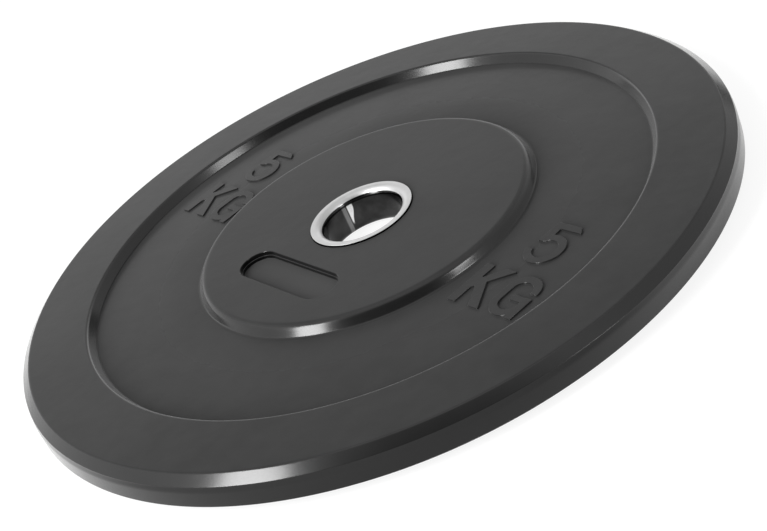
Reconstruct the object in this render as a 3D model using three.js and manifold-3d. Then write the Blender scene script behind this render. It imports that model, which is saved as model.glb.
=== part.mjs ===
// A five kilogram rubber bumper plate, lying flat with its front face up.
// Sizes are in millimetres. Z is the bore's axis, and Z = 0 is the ground under the steel sleeve.
// X is the reading direction of the raised marking, and Y points to its top.

import * as THREE from 'three';
import { mergeVertices } from 'three/addons/utils/BufferGeometryUtils.js';
import Module from 'manifold-3d';

const wasm = await Module();
wasm.setup();

// Whole plate
const plateDiameter = 450;
const rubberThickness = 22.4;

// Outer edge of the rim: a bevel on each face, and under the front one a parting land that tapers out
const bevelWidth = 6.45;
const bevelHeight = 5.05;
const partingLandDepth = 0.7;
const partingLandHeight = 0.4;
const partingStepHeight = 2.7;

// Front face: the raised hub, the sunk web and the raised rim
const hubFaceDiameter = 201.8;
const rimFaceInnerDiameter = 362.4;
const webDepth = 6.2;
const hubStepAngle = THREE.MathUtils.degToRad(58);
const hubEdgeRadius = 5.5;
const hubFootRadius = 2.8;
const rimStepAngle = THREE.MathUtils.degToRad(60);
const rimEdgeRadius = 2.3;
const rimFootRadius = 1;

// Back face: the same rings, sunk less
const backWebDepth = 2;
const backStepAngle = THREE.MathUtils.degToRad(45);
const backEdgeRadius = 1.5;

// Bare badge recess in the hub, below the bore, with a ledge half way down its wall
const recessLength = 86;
const recessWidth = 24.7;
const recessDepth = 4.4;
const recessShiftX = 1.3;
const recessCentreDrop = 60.9;
const recessLedgeDepth = 2.6;
const recessLedgeWidth = 0.75;

// Raised marking, once on each side of the hub, and a little to the right of its middle
const markingReach = 137.5;
const markingShiftX = 2.85;
const markingCentreY = 1.5;
const markingRelief = 1.1;
const markingRoot = 1;

// Figure five
const fiveBaseY = 3.8;
const fiveBowlRadius = 12.3;
const fiveBowlCentreX = -0.8;
const fiveStroke = 4.6;
const fiveHeight = 34.2;
const fiveStemLeftX = -9.7;
const fiveStemWidth = 5.1;
const fiveStemLean = 1;
const fiveBarRightX = 10.9;
const fiveBarSlant = 4;
const fiveStemEndAngle = THREE.MathUtils.degToRad(140);
const fiveTailAngle = THREE.MathUtils.degToRad(195);

// Letters K and G
const letterTopY = -5.3;
const letterHeight = 32;
const letterKLeftX = -24.7;
const letterKStemWidth = 6;
const letterKWidth = 24.6;
const letterKArmWidth = 7.6;
const letterKForkY = 19.2;
const letterKForkX = 12.2;
const letterKJoinY = 12.3;
const letterGLeftX = 1.9;
const letterGWidth = 23;
const letterGStroke = 4.7;
const letterGBarY = 15.2;
const letterGBarHeight = 4.1;
const letterGBarInset = 10;
const letterGTailAngle = THREE.MathUtils.degToRad(305);

// Steel sleeve that lines the bore
const boreDiameter = 50.4;
const sleeveWall = 7.2;
const sleeveStandProud = 1.05;
const sleeveEndLand = 2.1;
const sleeveOuterChamfer = 0.2;

// Anchor hooks, bent rods welded round the sleeve and buried in the hub
const hookCount = 6;
const hookRodDiameter = 6;
const hookReach = 24;
const hookBendRadius = 9;
const hookTailLength = 8;
const hookFirstAngle = THREE.MathUtils.degToRad(30);

// Clearance between the steel and the rubber moulded round it
const mouldGap = 0.3;

// Fineness of the round forms, as counts
const discSteps = 96;
const sleeveSteps = 64;
const frontArcSteps = 4;
const backArcSteps = 1;
const mouthArcSteps = 5;
const glyphArcSteps = 5;
const recessArcSteps = 6;
const rodSides = 8;
const hookSteps = 10;

// Heights and radii that follow from the sizes above
const backFaceZ = sleeveStandProud;
const frontFaceZ = backFaceZ + rubberThickness;
const sleeveHeight = rubberThickness + 2 * sleeveStandProud;
const plateRadius = plateDiameter / 2;
const hubFaceRadius = hubFaceDiameter / 2;
const rimFaceInnerRadius = rimFaceInnerDiameter / 2;
const boreRadius = boreDiameter / 2;
const sleeveOuterRadius = boreRadius + sleeveWall;
const sleeveMouthRadius = sleeveWall - sleeveEndLand - sleeveOuterChamfer;
const rubberBoreRadius = sleeveOuterRadius + mouldGap;
const webZ = frontFaceZ - webDepth;
const hookZ = sleeveHeight / 2;
const recessFloorZ = frontFaceZ - recessDepth;
const recessLedgeZ = frontFaceZ - recessLedgeDepth;

const fullTurn = 2 * Math.PI;
const quarterTurn = Math.PI / 2;

// Solids

function solidFrom(geometry) {
  const bare = geometry.index ? geometry.toNonIndexed() : geometry.clone();
  bare.deleteAttribute('normal');
  bare.deleteAttribute('uv');
  const joined = mergeVertices(bare);
  const vertProperties = new Float32Array(joined.attributes.position.array);
  const triVerts = new Uint32Array(joined.index.array);
  return new wasm.Manifold(new wasm.Mesh({ numProp: 3, vertProperties, triVerts }));
}

function geometryFrom(solid) {
  const mesh = solid.getMesh();
  const geometry = new THREE.BufferGeometry();
  geometry.setAttribute('position', new THREE.BufferAttribute(mesh.vertProperties, 3));
  geometry.setIndex(new THREE.BufferAttribute(mesh.triVerts, 1));
  geometry.computeVertexNormals();
  return geometry;
}

// A ring turned about Z from a closed profile of radius and height
function turned(profile, steps) {
  const geometry = new THREE.LatheGeometry([...profile, profile[0]], steps);
  geometry.rotateX(quarterTurn);
  return geometry;
}

// A prism that stands on the height lowZ
function prism(shape, lowZ, height, curveSegments) {
  const geometry = new THREE.ExtrudeGeometry(shape, { depth: height, bevelEnabled: false, curveSegments });
  geometry.translate(0, 0, lowZ);
  return geometry;
}

// Profiles

// The step between a raised face and the face below it: a rounded edge, a slope and a rounded foot.
// It starts on the raised face at startRadius and runs outward for side = 1, inward for side = -1.
// The height falls for sense = 1, on the front face, and rises for sense = -1, on the back.
function stepProfile({ startRadius, startZ, side, sense, drop, angle, edgeRadius, footRadius, arcSteps }) {
  const arcDrop = (edgeRadius + footRadius) * (1 - Math.cos(angle));
  const slopeLength = (drop - arcDrop) / Math.sin(angle);
  const points = [];
  for (let i = 0; i <= arcSteps; i += 1) {
    const turn = (angle * i) / arcSteps;
    points.push([edgeRadius * Math.sin(turn), edgeRadius * (1 - Math.cos(turn))]);
  }
  const [edgeRun, edgeDrop] = points[arcSteps];
  const footRun = edgeRun + slopeLength * Math.cos(angle) + footRadius * Math.sin(angle);
  const footStartDrop = edgeDrop + slopeLength * Math.sin(angle);
  for (let i = 0; i <= arcSteps; i += 1) {
    const turn = angle * (1 - i / arcSteps);
    const run = footRun - footRadius * Math.sin(turn);
    points.push([run, footStartDrop + footRadius * (Math.cos(turn) - Math.cos(angle))]);
  }
  return points.map(([run, fall]) => new THREE.Vector2(startRadius + side * run, startZ - sense * fall));
}

// The rubber's section, from the bore's back edge round the outside to its front edge
function rubberProfile() {
  const backStep = { startZ: backFaceZ, sense: -1, drop: backWebDepth, angle: backStepAngle };
  const backRounding = { edgeRadius: backEdgeRadius, footRadius: backEdgeRadius, arcSteps: backArcSteps };
  const frontStep = { startZ: frontFaceZ, sense: 1, drop: webDepth, arcSteps: frontArcSteps };
  const backHub = stepProfile({ ...backStep, ...backRounding, startRadius: hubFaceRadius, side: 1 });
  const backRim = stepProfile({ ...backStep, ...backRounding, startRadius: rimFaceInnerRadius, side: -1 });
  const frontHub = stepProfile({
    ...frontStep,
    startRadius: hubFaceRadius,
    side: 1,
    angle: hubStepAngle,
    edgeRadius: hubEdgeRadius,
    footRadius: hubFootRadius,
  });
  const frontRim = stepProfile({
    ...frontStep,
    startRadius: rimFaceInnerRadius,
    side: -1,
    angle: rimStepAngle,
    edgeRadius: rimEdgeRadius,
    footRadius: rimFootRadius,
  });
  const landRadius = plateRadius - partingLandDepth;
  const bevelledShare = (bevelWidth - partingLandDepth) / bevelWidth;
  const landTopZ = frontFaceZ - bevelHeight * bevelledShare;
  const landFootZ = landTopZ - partingLandHeight;
  return [
    new THREE.Vector2(rubberBoreRadius, backFaceZ),
    ...backHub,
    ...backRim.reverse(),
    new THREE.Vector2(plateRadius - bevelWidth, backFaceZ),
    new THREE.Vector2(plateRadius, backFaceZ + bevelHeight),
    new THREE.Vector2(plateRadius, landFootZ - partingStepHeight),
    new THREE.Vector2(landRadius, landFootZ),
    new THREE.Vector2(landRadius, landTopZ),
    new THREE.Vector2(plateRadius - bevelWidth, frontFaceZ),
    ...frontRim,
    ...frontHub.reverse(),
    new THREE.Vector2(rubberBoreRadius, frontFaceZ),
  ];
}

// The sleeve's section: a tube wall whose two mouths are rounded for the bar
function sleeveProfile() {
  const mouth = [];
  for (let i = 0; i <= mouthArcSteps; i += 1) {
    const turn = (quarterTurn * i) / mouthArcSteps;
    const inset = sleeveMouthRadius * (1 - Math.cos(turn));
    mouth.push([boreRadius + inset, sleeveMouthRadius * (1 - Math.sin(turn))]);
  }
  const rearMouth = mouth.map(([radius, depth]) => new THREE.Vector2(radius, depth));
  const frontMouth = mouth.map(([radius, depth]) => new THREE.Vector2(radius, sleeveHeight - depth));
  return [
    ...rearMouth,
    new THREE.Vector2(sleeveOuterRadius - sleeveOuterChamfer, 0),
    new THREE.Vector2(sleeveOuterRadius, sleeveOuterChamfer),
    new THREE.Vector2(sleeveOuterRadius, sleeveHeight - sleeveOuterChamfer),
    new THREE.Vector2(sleeveOuterRadius - sleeveOuterChamfer, sleeveHeight),
    ...frontMouth.reverse(),
  ];
}

// Marking

// Figure five: a bar, a stem and an open bowl
function fiveShape() {
  const bowlY = fiveBaseY + fiveBowlRadius;
  const innerRadius = fiveBowlRadius - fiveStroke;
  const topY = fiveBaseY + fiveHeight;
  const barY = topY - fiveStroke;
  const stemRightX = fiveStemLeftX + fiveStemWidth;
  const stemEndX = fiveBowlCentreX + innerRadius * Math.cos(fiveStemEndAngle);
  const stemEndY = bowlY + innerRadius * Math.sin(fiveStemEndAngle);
  const joinAngle = Math.acos((stemRightX - fiveBowlCentreX) / fiveBowlRadius);
  const shape = new THREE.Shape();
  shape.moveTo(fiveStemLeftX, topY);
  shape.lineTo(fiveStemLeftX - fiveStemLean, stemEndY);
  shape.lineTo(stemEndX, stemEndY);
  shape.absarc(fiveBowlCentreX, bowlY, innerRadius, fiveStemEndAngle, fiveTailAngle, true);
  shape.absarc(fiveBowlCentreX, bowlY, fiveBowlRadius, fiveTailAngle, fullTurn + joinAngle, false);
  shape.lineTo(stemRightX, barY);
  shape.lineTo(fiveBarRightX, barY);
  shape.lineTo(fiveBarRightX - fiveBarSlant, topY);
  shape.closePath();
  return shape;
}

// Letter K: a stem, a long upper arm and a lower arm that branches off it
function letterKShape() {
  const baseY = letterTopY - letterHeight;
  const stemX = letterKLeftX + letterKStemWidth;
  const rightX = letterKLeftX + letterKWidth;
  const forkX = letterKLeftX + letterKForkX;
  const forkY = baseY + letterKForkY;
  const joinY = baseY + letterKJoinY;
  const upperEndX = forkX + (letterTopY - forkY) * (forkX - stemX) / (forkY - joinY);
  const armLeftX = upperEndX - letterKArmWidth;
  const armRise = (letterTopY - forkY) / (upperEndX - forkX);
  const lowerLeftX = rightX - letterKArmWidth;
  const lowerRun = (rightX - forkX) / (forkY - baseY);
  const crotchX = stemX + (lowerLeftX - stemX - lowerRun * (joinY - baseY)) / (1 + lowerRun * armRise);
  const crotchY = joinY + (crotchX - stemX) * armRise;
  const shape = new THREE.Shape();
  shape.moveTo(letterKLeftX, baseY);
  shape.lineTo(stemX, baseY);
  shape.lineTo(stemX, joinY);
  shape.lineTo(crotchX, crotchY);
  shape.lineTo(lowerLeftX, baseY);
  shape.lineTo(rightX, baseY);
  shape.lineTo(forkX, forkY);
  shape.lineTo(upperEndX, letterTopY);
  shape.lineTo(armLeftX, letterTopY);
  shape.lineTo(stemX, letterTopY - (armLeftX - stemX) * armRise);
  shape.lineTo(stemX, letterTopY);
  shape.lineTo(letterKLeftX, letterTopY);
  shape.closePath();
  return shape;
}

// Letter G: two half rounds joined by a straight back, with a bar and a spur
function letterGShape() {
  const outerRadius = letterGWidth / 2;
  const innerRadius = outerRadius - letterGStroke;
  const baseY = letterTopY - letterHeight;
  const centreX = letterGLeftX + outerRadius;
  const rightX = letterGLeftX + letterGWidth;
  const spurX = rightX - letterGStroke;
  const upperY = letterTopY - outerRadius;
  const lowerY = baseY + outerRadius;
  const barTopY = letterTopY - letterGBarY;
  const barBaseY = barTopY - letterGBarHeight;
  const barLeftX = letterGLeftX + letterGBarInset;
  const shape = new THREE.Shape();
  shape.moveTo(rightX, upperY);
  shape.absarc(centreX, upperY, outerRadius, 0, Math.PI, false);
  shape.absarc(centreX, lowerY, outerRadius, Math.PI, letterGTailAngle, false);
  shape.lineTo(spurX, baseY);
  shape.lineTo(rightX, baseY);
  shape.lineTo(rightX, barTopY);
  shape.lineTo(barLeftX, barTopY);
  shape.lineTo(barLeftX, barBaseY);
  shape.lineTo(spurX, barBaseY);
  shape.absarc(centreX, lowerY, innerRadius, 0, -Math.PI, true);
  shape.absarc(centreX, upperY, innerRadius, Math.PI, 0, true);
  shape.closePath();
  return shape;
}

function markingSolids() {
  const solids = [];
  for (const side of [-1, 1]) {
    for (const shape of [fiveShape(), letterKShape(), letterGShape()]) {
      const relief = prism(shape, webZ - markingRoot, markingRoot + markingRelief, glyphArcSteps);
      relief.translate(markingShiftX + side * markingReach, markingCentreY, 0);
      solids.push(solidFrom(relief));
    }
  }
  return solids;
}

// Recess

function recessShape(inset) {
  const endRadius = recessWidth / 2 - inset;
  const endX = (recessLength - recessWidth) / 2;
  const shape = new THREE.Shape();
  shape.absarc(recessShiftX + endX, -recessCentreDrop, endRadius, -quarterTurn, quarterTurn, false);
  shape.absarc(recessShiftX - endX, -recessCentreDrop, endRadius, quarterTurn, 3 * quarterTurn, false);
  shape.closePath();
  return shape;
}

// Hooks

// A rod of round section along a path
function rodAlong(path, radius, steps) {
  const section = new THREE.Shape();
  section.absarc(0, 0, radius, 0, fullTurn, false);
  return new THREE.ExtrudeGeometry(section, { steps, curveSegments: rodSides / 2, extrudePath: path });
}

// The hook's corners: it leaves the sleeve square to it, bends once and ends in a short tail
function hookCorners() {
  const bendStartX = sleeveOuterRadius + hookReach;
  const tailX = bendStartX + hookBendRadius;
  return {
    start: new THREE.Vector3(sleeveOuterRadius + mouldGap, 0, 0),
    bendStart: new THREE.Vector3(bendStartX, 0, 0),
    corner: new THREE.Vector3(tailX, 0, 0),
    bendEnd: new THREE.Vector3(tailX, hookBendRadius, 0),
    tailEnd: new THREE.Vector3(tailX, hookBendRadius + hookTailLength, 0),
  };
}

function bentRod(radius) {
  const { start, bendStart, corner, bendEnd, tailEnd } = hookCorners();
  const path = new THREE.CurvePath();
  path.add(new THREE.LineCurve3(start, bendStart));
  path.add(new THREE.QuadraticBezierCurve3(bendStart, corner, bendEnd));
  path.add(new THREE.LineCurve3(bendEnd, tailEnd));
  return rodAlong(path, radius, hookSteps);
}

// Turns a hook's form from the X axis to its place round the sleeve
function atHook(geometry, index) {
  geometry.rotateZ(hookFirstAngle + (fullTurn * index) / hookCount);
  geometry.translate(0, 0, hookZ);
  return geometry;
}

// The hollow that one hook leaves in the rubber, wider and longer than the rod by the mould gap
function hookHollow(index) {
  const radius = hookRodDiameter / 2 + mouldGap;
  const { start, bendStart, bendEnd, tailEnd } = hookCorners();
  const midway = bendStart.clone().lerp(start, 1 / 2);
  const mouth = new THREE.LineCurve3(new THREE.Vector3(boreRadius, 0, 0), midway);
  const beyond = tailEnd.clone().add(new THREE.Vector3(0, mouldGap, 0));
  const parts = [
    bentRod(radius),
    rodAlong(mouth, radius, 1),
    rodAlong(new THREE.LineCurve3(bendEnd, beyond), radius, 1),
  ];
  return parts.map((part) => solidFrom(atHook(part, index))).reduce((whole, part) => whole.add(part));
}

// Materials

function rubberMaterial() {
  return new THREE.MeshStandardMaterial({ color: 0x2b2b2c, roughness: 0.62, metalness: 0 });
}

function polishedSteelMaterial() {
  return new THREE.MeshStandardMaterial({ color: 0xc9c9c8, roughness: 0.22, metalness: 1 });
}

function bareSteelMaterial() {
  return new THREE.MeshStandardMaterial({ color: 0x77777a, roughness: 0.5, metalness: 1 });
}

// Pieces

// The moulded rubber, with the hollows that the sleeve and its hooks fill
function rubberDisc() {
  let solid = solidFrom(turned(rubberProfile(), discSteps));
  for (const relief of markingSolids()) {
    solid = solid.add(relief);
  }
  const upper = prism(recessShape(0), recessLedgeZ, recessLedgeDepth + sleeveStandProud, recessArcSteps);
  const lower = prism(recessShape(recessLedgeWidth), recessFloorZ, recessDepth, recessArcSteps);
  solid = solid.subtract(solidFrom(upper));
  solid = solid.subtract(solidFrom(lower));
  for (let i = 0; i < hookCount; i += 1) {
    solid = solid.subtract(hookHollow(i));
  }
  return new THREE.Mesh(geometryFrom(solid), rubberMaterial());
}

function boreSleeve() {
  return new THREE.Mesh(turned(sleeveProfile(), sleeveSteps), polishedSteelMaterial());
}

function anchorHook(index) {
  return new THREE.Mesh(atHook(bentRod(hookRodDiameter / 2), index), bareSteelMaterial());
}

// Assembly

const plate = new THREE.Group();

const disc = rubberDisc();
disc.name = 'rubber_disc';
plate.add(disc);

const sleeve = boreSleeve();
sleeve.name = 'bore_sleeve';
plate.add(sleeve);

for (let i = 0; i < hookCount; i += 1) {
  const hook = anchorHook(i);
  hook.name = `anchor_hook_${i + 1}`;
  plate.add(hook);
}

export default plate;
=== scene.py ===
# %% [markdown]
# # A rubber bumper plate
#
# A bumper plate is a weight for a barbell that may be dropped: a disc of black rubber, pressed hot in a
# steel mould round a steel sleeve that lines its bore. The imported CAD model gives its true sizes, and this
# script dresses it. The rubber is one moulding, so it becomes one fine mesh with the raised marking and the
# sunk recess in it, and the sleeve becomes a finely turned ring. The rubber's flats are matt, because the
# mould was blasted there, and its slopes are glossy, because the mould was polished.

import math

import bmesh
import bpy
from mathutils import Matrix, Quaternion, Vector
from mathutils.geometry import delaunay_2d_cdt


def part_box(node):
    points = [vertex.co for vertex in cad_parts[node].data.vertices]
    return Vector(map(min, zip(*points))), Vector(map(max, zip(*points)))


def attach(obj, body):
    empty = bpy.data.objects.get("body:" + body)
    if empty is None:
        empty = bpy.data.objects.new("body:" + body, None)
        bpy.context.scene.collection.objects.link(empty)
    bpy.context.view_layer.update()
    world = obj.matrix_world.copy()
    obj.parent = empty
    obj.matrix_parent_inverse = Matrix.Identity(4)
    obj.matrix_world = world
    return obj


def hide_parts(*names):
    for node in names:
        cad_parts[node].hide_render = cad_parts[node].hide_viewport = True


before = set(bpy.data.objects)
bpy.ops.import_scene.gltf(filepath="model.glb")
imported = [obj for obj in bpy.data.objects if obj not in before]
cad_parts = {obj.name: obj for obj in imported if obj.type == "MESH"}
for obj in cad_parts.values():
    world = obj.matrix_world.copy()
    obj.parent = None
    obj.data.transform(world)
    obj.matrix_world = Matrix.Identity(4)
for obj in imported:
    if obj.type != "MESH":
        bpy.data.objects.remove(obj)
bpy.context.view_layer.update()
rubber_low, rubber_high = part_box("rubber_disc")
sleeve_low, sleeve_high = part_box("bore_sleeve")
scene = bpy.context.scene

# %% [markdown]
# ## Units and main heights
#
# Blender works in metres and the drawing of the plate is in millimetres, so every size is written in
# millimetres times one constant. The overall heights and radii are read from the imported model, which
# keeps the dressed plate and the solid one the same size.

# %% Main radii and heights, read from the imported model
MM = 0.001
plate_radius = rubber_high.x
back_z = rubber_low.z
front_z = rubber_high.z
sleeve_radius = sleeve_high.x
sleeve_top = sleeve_high.z
web_z = front_z - 6.2 * MM
hub_radius = 100.9 * MM
rim_radius = 181.2 * MM
sleeve_gap = 0.3 * MM
rubber_bore_radius = sleeve_radius + sleeve_gap
print("rubber from", round(back_z / MM, 2), "to", round(front_z / MM, 2), "mm, web at", round(web_z / MM, 2))

# %% [markdown]
# ## The camera
#
# The plate lies on the table and is seen from nearly thirty degrees above it, with the camera rolled by
# twenty-five degrees, so that the disc runs from the lower left to the upper right. The lens is a short
# telephoto, because the far rim is only a little smaller than the near one.

# %% Place the camera
camera_place = Vector((718.6, -379.1, 446.3)) * MM
camera_aim = Vector((41.9, -23.1, 12.25)) * MM
camera_roll = math.radians(-24.96)
camera_lens = 72.19

camera_data = bpy.data.cameras.new("camera")
camera_data.lens = camera_lens
camera_data.sensor_width = 36
camera_data.clip_start = 0.01
camera = bpy.data.objects.new("camera", camera_data)
camera.rotation_mode = "QUATERNION"
camera.location = camera_place
look = (camera_aim - camera_place).to_track_quat("-Z", "Y")
camera.rotation_quaternion = look @ Quaternion((0, 0, 1), camera_roll)
scene.collection.objects.link(camera)
scene.camera = camera
print("camera distance", round((camera_place - camera_aim).length, 3), "m")

# %% [markdown]
# ## Outlines with rounded corners
#
# Every form of this plate is an outline that is either turned about the bore's axis or raised from a flat
# face. A real mould is cut with round tools, so each corner has a radius. The helper takes corners as
# (x, y, radius) and puts an arc at each. It also adds a guard point a little way past each arc: the faces
# between arc and guard lie in the flat, which keeps the smooth shading of the arc off the flat face.

# %% Round the corners of an outline
ARC_STEPS = 8
GUARD = 0.3 * MM


def rounded(corners, closed=False, guard=GUARD, steps=ARC_STEPS):
    points = []
    count = len(corners)
    for index, (x, y, radius) in enumerate(corners):
        here = Vector((x, y))
        at_end = not closed and index in (0, count - 1)
        if radius == 0 or at_end:
            points.append(here)
            continue
        before = Vector(corners[index - 1][:2]) - here
        after = Vector(corners[(index + 1) % count][:2]) - here
        room = min(before.length, after.length) / 2
        before.normalize()
        after.normalize()
        half = before.angle(after) / 2
        reach = radius / math.tan(half)
        centre = here + (before + after).normalized() * radius / math.sin(half)
        start = here + before * reach - centre
        end = here + after * reach - centre
        turn = math.atan2(start.cross(end), start.dot(end))
        if reach + guard < room:
            points.append(here + before * (reach + guard))
        for step in range(steps + 1):
            part = turn * step / steps
            cos, sin = math.cos(part), math.sin(part)
            points.append(centre + Vector((start.x * cos - start.y * sin, start.x * sin + start.y * cos)))
        if reach + guard < room:
            points.append(here + after * (reach + guard))
    return points


def arc(cx, cy, radius, start, end, steps):
    """Corners of radius nought along an arc, from one angle to another, in radians."""
    turns = [start + (end - start) * step / steps for step in range(steps + 1)]
    return [(cx + radius * math.cos(turn), cy + radius * math.sin(turn), 0) for turn in turns]


square = [(0, 0, 1), (9, 0, 1), (9, 9, 1), (0, 9, 1)]
print("a square with round corners has", len(rounded(square, closed=True)), "points")

# %% [markdown]
# ## Turning a profile
#
# A screw modifier could turn the profile, but the flat faces of this plate have holes in them, where the
# marking and the recess begin. So the profile is turned in mesh code, ring by ring, and the flat stretches
# are left open and filled later with triangles that go round the holes.

# %% Turn an open or closed profile about the bore's axis
TURN_STEPS = 360


def turn_profile(mesh, profile, closed=False):
    rings = []
    for radius, height in profile:
        ring = []
        for step in range(TURN_STEPS):
            angle = 2 * math.pi * step / TURN_STEPS
            ring.append(mesh.verts.new((radius * math.cos(angle), radius * math.sin(angle), height)))
        rings.append(ring)
    pairs = list(zip(rings, rings[1:]))
    if closed:
        pairs.append((rings[-1], rings[0]))
    for low, high in pairs:
        for step in range(TURN_STEPS):
            after = (step + 1) % TURN_STEPS
            mesh.faces.new((low[step], low[after], high[after], high[step]))


def circle(radius):
    angles = [2 * math.pi * step / TURN_STEPS for step in range(TURN_STEPS)]
    return [Vector((radius * math.cos(angle), radius * math.sin(angle))) for angle in angles]


print("the bore's circle has", len(circle(rubber_bore_radius)), "points")

# %% [markdown]
# ## Raising an outline from a face
#
# The marking stands 1.1 mm proud of the web, and the recess is sunk 4.4 mm into the hub, with a narrow ledge
# part of the way down. Both are the same thing to a mould maker: an outline, and a wall section that is
# swept round it. The section is a list of steps of how far out from the outline and how high, with rounded
# corners like any other profile. Bevelled text or a boolean would be quicker, but they leave no fillet where
# the wall meets the face, and that fillet is what catches the light.

# %% Move an outline outwards, with its corners' radii
SMALLEST_RADIUS = 0.0001 * MM
NO_GUARD = 1


def offset(corners, distance, steps=3):
    """Points of the outline moved outwards by a distance. Its corners run anticlockwise."""
    moved = []
    count = len(corners)
    for index, (x, y, radius) in enumerate(corners):
        point = Vector((x, y))
        along = (point - Vector(corners[index - 1][:2])).normalized()
        onward = (Vector(corners[(index + 1) % count][:2]) - point).normalized()
        out = Vector((along.y, -along.x)) + Vector((onward.y, -onward.x))
        point = point + out * (2 * distance / out.length_squared)
        if radius > 0:
            growth = distance if along.cross(onward) > 0 else -distance
            radius = max(radius + growth, SMALLEST_RADIUS)
        moved.append((point.x, point.y, radius))
    return rounded(moved, closed=True, guard=NO_GUARD, steps=steps)


def anticlockwise(corners):
    points = [Vector(corner[:2]) for corner in corners]
    area = sum(a.cross(b) for a, b in zip(points, points[1:] + points[:1]))
    return corners if area > 0 else corners[::-1]


print("moved outwards, the square has", len(offset(square, 1)), "points")

# %% [markdown]
# ## Filling a flat face round its holes
#
# A flat ring with letters in it is awkward to fill by hand. Blender's own triangulation takes the outlines
# as edges that it must keep, and fills everything between them. A triangle belongs to the face when a line
# from its middle crosses the outlines an odd number of times, and to a hole when the number is even.

# %% Fill a flat face
FILL_INSIDE = 1
FILL_TOLERANCE = 1e-7


def inside(point, outline):
    """Whether a point lies inside an outline, by the edges that a line from it to the right crosses."""
    found = False
    before = outline[-1]
    for here in outline:
        if (here.y > point.y) != (before.y > point.y):
            cross_x = before.x + (point.y - before.y) * (here.x - before.x) / (here.y - before.y)
            found = found != (point.x < cross_x)
        before = here
    return found


def fill_flat(mesh, outlines, height):
    """Fills the flat region that the outlines bound, and leaves out the holes inside it."""
    points = []
    edges = []
    for outline in outlines:
        first = len(points)
        points.extend(outline)
        count = len(outline)
        edges.extend((first + index, first + (index + 1) % count) for index in range(count))
    found, _, faces, _, _, _ = delaunay_2d_cdt(points, edges, [], FILL_INSIDE, FILL_TOLERANCE)
    verts = [mesh.verts.new((point.x, point.y, height)) for point in found]
    for face in faces:
        middle = sum((found[index] for index in face), Vector((0, 0))) / len(face)
        if sum(inside(middle, outline) for outline in outlines) % 2 == 1:
            mesh.faces.new([verts[index] for index in face])


# %% Sweep a wall section round an outline


def sweep_wall(mesh, outline, section):
    """Sweeps a section of (distance out, height) round the outline and closes its inner end."""
    rings = []
    for distance, height in section:
        rings.append([mesh.verts.new((point.x, point.y, height)) for point in offset(outline, distance)])
    for low, high in zip(rings, rings[1:]):
        for index in range(len(low)):
            after = (index + 1) % len(low)
            mesh.faces.new((low[index], low[after], high[after], high[index]))
    fill_flat(mesh, [offset(outline, section[-1][0])], section[-1][1])
    return offset(outline, section[0][0])


# %% [markdown]
# ## The marking
#
# The mass is moulded twice on the web, once on each side of the hub, as a plain figure over two plain
# letters. Each is drawn as an outline from a few sizes. The cutter that engraved the mould leaves a small
# radius in every corner.

# %% Draw the figure and the two letters
CUTTER = 0.5 * MM
GLYPH_ARC_STEPS = 20


def figure_five():
    base, height, stroke = 3.8 * MM, 34.2 * MM, 4.6 * MM
    bowl, bowl_x = 12.3 * MM, -0.8 * MM
    stem_left, stem_width, stem_lean = -9.7 * MM, 5.1 * MM, 1 * MM
    bar_right, bar_slant = 10.9 * MM, 4 * MM
    stem_end, tail = math.radians(140), math.radians(195)
    bowl_y = base + bowl
    inner = bowl - stroke
    top = base + height
    stem_right = stem_left + stem_width
    end_x = bowl_x + inner * math.cos(stem_end)
    end_y = bowl_y + inner * math.sin(stem_end)
    join = math.acos((stem_right - bowl_x) / bowl)
    return [
        (stem_left, top, CUTTER),
        (stem_left - stem_lean, end_y, CUTTER),
        (end_x, end_y, 0),
        *arc(bowl_x, bowl_y, inner, stem_end, tail - 2 * math.pi, GLYPH_ARC_STEPS)[1:],
        *arc(bowl_x, bowl_y, bowl, tail - 2 * math.pi, join, GLYPH_ARC_STEPS),
        (stem_right, top - stroke, CUTTER),
        (bar_right, top - stroke, CUTTER),
        (bar_right - bar_slant, top, CUTTER),
    ]


def letter_k():
    top, height = -5.3 * MM, 32 * MM
    left, stem, width, arm = -24.7 * MM, 6 * MM, 24.6 * MM, 7.6 * MM
    base = top - height
    stem_x = left + stem
    right = left + width
    fork_x, fork_y = left + 12.2 * MM, base + 19.2 * MM
    join_y = base + 12.3 * MM
    rise = (fork_y - join_y) / (fork_x - stem_x)
    upper_right = fork_x + (top - fork_y) / rise
    upper_left = upper_right - arm
    lower_left = right - arm
    lower_run = (right - fork_x) / (fork_y - base)
    crotch_x = stem_x + (lower_left - stem_x - lower_run * (join_y - base)) / (1 + lower_run * rise)
    crotch_y = join_y + (crotch_x - stem_x) * rise
    corners = [
        (left, base),
        (stem_x, base),
        (stem_x, join_y),
        (crotch_x, crotch_y),
        (lower_left, base),
        (right, base),
        (fork_x, fork_y),
        (upper_right, top),
        (upper_left, top),
        (stem_x, top - (upper_left - stem_x) * rise),
        (stem_x, top),
        (left, top),
    ]
    return [(x, y, CUTTER) for x, y in corners]


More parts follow.
